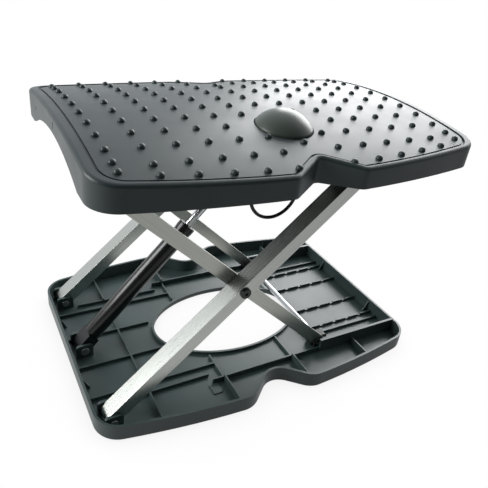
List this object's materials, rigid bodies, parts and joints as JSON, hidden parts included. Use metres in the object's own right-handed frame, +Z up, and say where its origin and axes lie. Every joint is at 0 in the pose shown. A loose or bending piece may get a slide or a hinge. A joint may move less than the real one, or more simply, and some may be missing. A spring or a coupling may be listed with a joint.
{
  "type": "adjustable footrest",
  "caption": "Height-adjustable footrest: arched nubbed platform on two aluminium scissor pairs over a ribbed tray, with a gas spring and foot button.",
  "frame": {"origin": "on the ground under the middle of the whole, which is the middle of the platform", "axes": "+X along the long side from the hinged end to the sliding end, +Y from the front to the back, +Z up"},
  "size_m": [0.4626, 0.3292, 0.336],
  "materials": {
    "base_plastic": "satin, fine grain",
    "platform_plastic": "satin, fine grain",
    "foot_rubber": "matt",
    "brushed_aluminium": "brushed and clear anodised",
    "black_steel": "black",
    "chromed_steel": "polished",
    "bright_steel": "zinc plated",
    "bracket_steel": "black zinc",
    "slider_plastic": "low-friction",
    "button_plastic": "satin gloss",
    "cable_jacket": "smooth"
  },
  "bodies": {
    "base": {"base_tray": "base_plastic", "rubber_feet": "foot_rubber", "base_pivot_pins": "bright_steel", "gas_lower_pin": "bright_steel"},
    "outer_arms": {"outer_arm_front": "brushed_aluminium", "outer_arm_back": "brushed_aluminium", "centre_bolts": "black_steel", "centre_nuts": "black_steel", "centre_washers": "bright_steel", "upper_slide_rod": "chromed_steel"},
    "inner_arms": {"inner_arm_front": "brushed_aluminium", "inner_arm_back": "brushed_aluminium", "lower_slide_rod": "chromed_steel"},
    "platform": {"platform_shell": "platform_plastic", "pivot_bracket_front": "bracket_steel", "pivot_bracket_back": "bracket_steel", "top_pivot_pins": "bright_steel", "guide_rail_front": "bracket_steel", "guide_rail_back": "bracket_steel", "gas_upper_bracket": "bracket_steel", "gas_bracket_rivets": "bright_steel", "bracket_screws": "bright_steel", "button_housing": "slider_plastic", "lever_pin": "bright_steel", "button_springs": "bright_steel", "release_cable": "cable_jacket", "cable_ferrules": "bright_steel"},
    "lower_shoes": {"shoe_plates": "slider_plastic", "shoe_blocks": "slider_plastic", "shoe_screws": "bright_steel"},
    "upper_blocks": {"rail_blocks": "slider_plastic"},
    "gas_tube": {"gas_lower_eye": "black_steel", "gas_cylinder": "black_steel", "gas_collar": "black_steel"},
    "gas_ram": {"gas_rod": "chromed_steel", "gas_release_head": "black_steel", "gas_release_pin": "chromed_steel"},
    "button": {"foot_button": "button_plastic"},
    "lever": {"release_lever": "slider_plastic", "cable_inner_wire": "bright_steel"}
  },
  "joints": [
    {"name": "lift", "type": "hinge", "parent": "base", "child": "outer_arms", "pos_m": [-0.2113, 0, 0.0115], "axis": [0, -1, 0], "range_deg": [-34.4, 0], "deforming": ["release_cable"]},
    {"name": "arm_cross", "type": "hinge", "parent": "outer_arms", "child": "inner_arms", "pos_m": [-0.05992, 0, 0.14973], "axis": [0, -1, 0], "range_deg": [0, 68.8]},
    {"name": "platform_level", "type": "hinge", "parent": "inner_arms", "child": "platform", "pos_m": [-0.2113, 0, 0.28796], "axis": [0, -1, 0], "range_deg": [-34.4, 0]},
    {"name": "lower_shoe_turn", "type": "hinge", "parent": "inner_arms", "child": "lower_shoes", "pos_m": [0.09147, 0, 0.0115], "axis": [0, -1, 0], "range_deg": [-34.4, 0]},
    {"name": "upper_block_turn", "type": "hinge", "parent": "outer_arms", "child": "upper_blocks", "pos_m": [0.09147, 0, 0.28796], "axis": [0, -1, 0], "range_deg": [0, 34.4]},
    {"name": "gas_swing", "type": "hinge", "parent": "base", "child": "gas_tube", "pos_m": [-0.2113, 0.01, 0.0115], "axis": [0, -1, 0], "range_deg": [-34.64, 0]},
    {"name": "gas_stroke", "type": "slide", "parent": "gas_tube", "child": "gas_ram", "axis": [0.6717, 0, 0.7408], "range_m": [-0.11668, 0]},
    {"name": "button_press", "type": "slide", "parent": "platform", "child": "button", "axis": [0, 0.0834, -0.9965], "range_m": [0, 0.003], "stiffness_N_per_m": 1500, "springref_m": -0.004, "deforming": ["button_springs"]},
    {"name": "lever_turn", "type": "hinge", "parent": "platform", "child": "lever", "pos_m": [0.0082, -0.08005, 0.29151], "axis": [0.866, 0.4983, 0.0417], "range_deg": [-14.33, 0]}
  ],
  "couplings": [
    {"joint": "arm_cross", "follows": "lift", "ratio": -2},
    {"joint": "platform_level", "follows": "lift", "ratio": 1},
    {"joint": "lower_shoe_turn", "follows": "lift", "ratio": 1},
    {"joint": "upper_block_turn", "follows": "lift", "ratio": -1},
    {"joint": "gas_swing", "follows": "lift", "ratio": 1.0068},
    {"joint": "gas_stroke", "follows": "lift", "m_per_rad": 0.19418},
    {"joint": "lever_turn", "follows": "button_press", "rad_per_m": -83.333}
  ]
}
